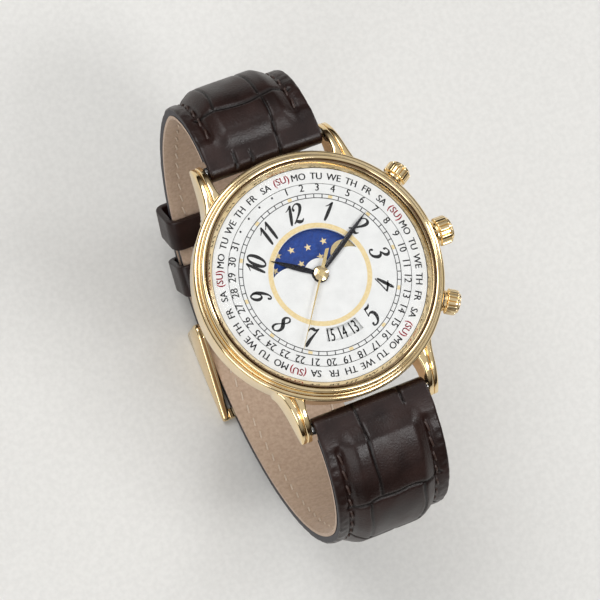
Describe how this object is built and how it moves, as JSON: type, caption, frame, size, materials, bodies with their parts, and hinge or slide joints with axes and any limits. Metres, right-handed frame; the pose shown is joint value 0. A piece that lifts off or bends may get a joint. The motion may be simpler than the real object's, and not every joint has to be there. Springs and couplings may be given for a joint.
{
  "type": "moon phase watch",
  "caption": "Wristwatch with moon display, date window and turning weekday ring, fluted crowns, a quartz movement and a buckled leather strap.",
  "frame": {"origin": "centre of the case back's outer face", "axes": "+Z out of the dial, +X towards 3 o'clock and the main crown, +Y towards 12 o'clock; the strap loop hangs below"},
  "size_m": [0.0392, 0.0678, 0.053],
  "materials": {
    "polished_gold": "polished",
    "crystal_glass": "polished",
    "seal_rubber": "matt",
    "silver_white_dial": "satin",
    "ring_white": "satin",
    "moon_blue": "satin",
    "hand_dark": "satin",
    "hand_gold": "polished",
    "steel": "satin",
    "wheel_brass": "satin",
    "plate_nickel": "satin",
    "movement_plastic": "matt",
    "battery_steel": "satin",
    "board_green": "matt",
    "coil_copper": "satin",
    "quartz_case": "satin",
    "strap_brown": "semi-gloss",
    "lining_tan": "matt nubuck"
  },
  "bodies": {
    "watch": {"case_middle": "polished_gold", "bezel": "polished_gold", "crystal": "crystal_glass", "crystal_gasket": "seal_rubber", "rehaut_ring": "polished_gold", "case_back": "steel", "case_back_gasket": "seal_rubber", "crown_tubes": "steel", "movement_holder": "movement_plastic", "main_plate": "plate_nickel", "calendar_plate": "plate_nickel", "train_bridge": "plate_nickel", "bridge_screws": "steel", "dial": "silver_white_dial", "date_scale_ring": "silver_white_dial", "battery": "battery_steel", "battery_clamp": "steel", "circuit_board": "board_green", "quartz_can": "quartz_case", "coil": "coil_copper", "stator": "steel", "yoke": "steel", "spring_bar_12": "steel", "spring_bar_6": "steel", "strap_12_leather": "strap_brown", "strap_12_lining": "lining_tan", "strap_6_leather": "strap_brown", "strap_6_lining": "lining_tan", "fixed_keeper": "strap_brown", "buckle_bar": "steel", "buckle_frame": "polished_gold"},
    "weekday_ring": {"weekday_ring": "ring_white"},
    "moon_disc": {"moon_disc": "moon_blue"},
    "date_ring": {"date_ring": "ring_white"},
    "minute_hand": {"minute_hand": "hand_dark", "cannon_pinion": "wheel_brass"},
    "hour_hand": {"hour_hand": "hand_dark", "hour_wheel": "wheel_brass"},
    "minute_wheel": {"minute_wheel": "wheel_brass"},
    "setting_wheel": {"setting_wheel": "steel"},
    "date_driving_wheel": {"date_driving_wheel": "wheel_brass"},
    "second_hand": {"second_hand": "hand_gold", "fourth_wheel": "wheel_brass"},
    "fifth_wheel": {"fifth_wheel": "wheel_brass"},
    "third_wheel": {"third_wheel": "wheel_brass"},
    "centre_wheel": {"centre_wheel": "wheel_brass"},
    "rotor": {"rotor": "steel"},
    "clutch": {"clutch_wheel": "steel"},
    "main_crown": {"main_crown": "polished_gold", "main_stem": "steel"},
    "setting_lever": {"setting_lever": "steel"},
    "weekday_crown": {"weekday_crown": "polished_gold", "weekday_stem": "steel"},
    "moon_crown": {"moon_crown": "polished_gold", "moon_stem": "steel"},
    "moon_setting_wheel": {"moon_setting_wheel": "wheel_brass"},
    "free_keeper": {"free_keeper": "strap_brown"},
    "buckle_tongue": {"buckle_tongue": "polished_gold"}
  },
  "joints": [
    {"name": "minute_turn", "type": "hinge", "parent": "watch", "child": "minute_hand", "pos_m": [0, 0, 0.0066], "axis": [0, 0, 1], "continuous": true},
    {"name": "hour_turn", "type": "hinge", "parent": "watch", "child": "hour_hand", "pos_m": [0, 0, 0.00635], "axis": [0, 0, 1], "continuous": true},
    {"name": "minute_wheel_turn", "type": "hinge", "parent": "watch", "child": "minute_wheel", "pos_m": [0.00316, 0.00115, 0.0042], "axis": [0, 0, 1], "continuous": true},
    {"name": "setting_wheel_turn", "type": "hinge", "parent": "watch", "child": "setting_wheel", "pos_m": [0.00661, 0, 0.0042], "axis": [0, 0, 1], "continuous": true},
    {"name": "date_drive_turn", "type": "hinge", "parent": "watch", "child": "date_driving_wheel", "pos_m": [-0.0055, 0, 0.0046], "axis": [0, 0, 1], "continuous": true},
    {"name": "second_turn", "type": "hinge", "parent": "watch", "child": "second_hand", "pos_m": [0, 0, 0.0069], "axis": [0, 0, 1], "continuous": true},
    {"name": "fifth_wheel_turn", "type": "hinge", "parent": "watch", "child": "fifth_wheel", "pos_m": [-0.00115, -0.00316, 0.0023], "axis": [0, 0, 1], "continuous": true},
    {"name": "rotor_turn", "type": "hinge", "parent": "watch", "child": "rotor", "pos_m": [-0.0028, -0.00552, 0.0029], "axis": [0, 0, 1], "continuous": true},
    {"name": "third_wheel_turn", "type": "hinge", "parent": "watch", "child": "third_wheel", "pos_m": [-0.00071, 0.00402, 0.0023], "axis": [0, 0, 1], "continuous": true},
    {"name": "centre_wheel_turn", "type": "hinge", "parent": "watch", "child": "centre_wheel", "pos_m": [0, 0, 0.0028], "axis": [0, 0, 1], "continuous": true},
    {"name": "date_ring_turn", "type": "hinge", "parent": "watch", "child": "date_ring", "pos_m": [0, 0, 0.0054], "axis": [0, 0, 1], "continuous": true},
    {"name": "crown_turn", "type": "hinge", "parent": "watch", "child": "clutch", "pos_m": [0.0097, 0, 0.0043], "axis": [1, 0, 0], "continuous": true},
    {"name": "crown_pull", "type": "slide", "parent": "clutch", "child": "main_crown", "axis": [1, 0, 0], "range_m": [0, 0.0008]},
    {"name": "setting_lever_turn", "type": "hinge", "parent": "watch", "child": "setting_lever", "pos_m": [0.01145, -0.003, 0.0037], "axis": [0, 0, 1], "range_deg": [-15.5, 0]},
    {"name": "weekday_crown_turn", "type": "hinge", "parent": "watch", "child": "weekday_crown", "pos_m": [0.01573, 0.00945, 0.0043], "axis": [0.8572, 0.515, 0], "continuous": true},
    {"name": "weekday_ring_turn", "type": "hinge", "parent": "watch", "child": "weekday_ring", "pos_m": [0, 0, 0.006], "axis": [0, 0, 1], "continuous": true},
    {"name": "moon_crown_turn", "type": "hinge", "parent": "watch", "child": "moon_crown", "pos_m": [0.01573, -0.00945, 0.0043], "axis": [0.8572, -0.515, 0], "continuous": true},
    {"name": "moon_setting_turn", "type": "hinge", "parent": "watch", "child": "moon_setting_wheel", "pos_m": [0.00437, -0.00263, 0.005], "axis": [0, 0, 1], "continuous": true},
    {"name": "moon_disc_turn", "type": "hinge", "parent": "watch", "child": "moon_disc", "pos_m": [0, 0, 0.0053], "axis": [0, 0, 1], "continuous": true},
    {"name": "free_keeper_slide", "type": "hinge", "parent": "watch", "child": "free_keeper", "pos_m": [0, -0.002, -0.0069], "axis": [1, 0, 0], "range_deg": [-4.5, 8]},
    {"name": "tongue_turn", "type": "hinge", "parent": "watch", "child": "buckle_tongue", "pos_m": [0, 0.0045, -0.03925], "axis": [1, 0, 0], "range_deg": [0, 25]}
  ],
  "couplings": [
    {"joint": "hour_turn", "follows": "minute_turn", "ratio": 0.083333},
    {"joint": "minute_wheel_turn", "follows": "minute_turn", "ratio": -0.33333},
    {"joint": "setting_wheel_turn", "follows": "minute_turn", "ratio": 0.75},
    {"joint": "date_drive_turn", "follows": "minute_turn", "ratio": -0.041667},
    {"joint": "fifth_wheel_turn", "follows": "second_turn", "ratio": -6},
    {"joint": "rotor_turn", "follows": "second_turn", "ratio": 30},
    {"joint": "third_wheel_turn", "follows": "second_turn", "ratio": -0.13333},
    {"joint": "centre_wheel_turn", "follows": "second_turn", "ratio": 0.016667},
    {"joint": "setting_lever_turn", "follows": "crown_pull", "rad_per_m": -333.33},
    {"joint": "weekday_ring_turn", "follows": "weekday_crown_turn", "ratio": -0.066667},
    {"joint": "moon_setting_turn", "follows": "moon_crown_turn", "ratio": -0.27273},
    {"joint": "moon_disc_turn", "follows": "moon_crown_turn", "ratio": 0.17595}
  ]
}
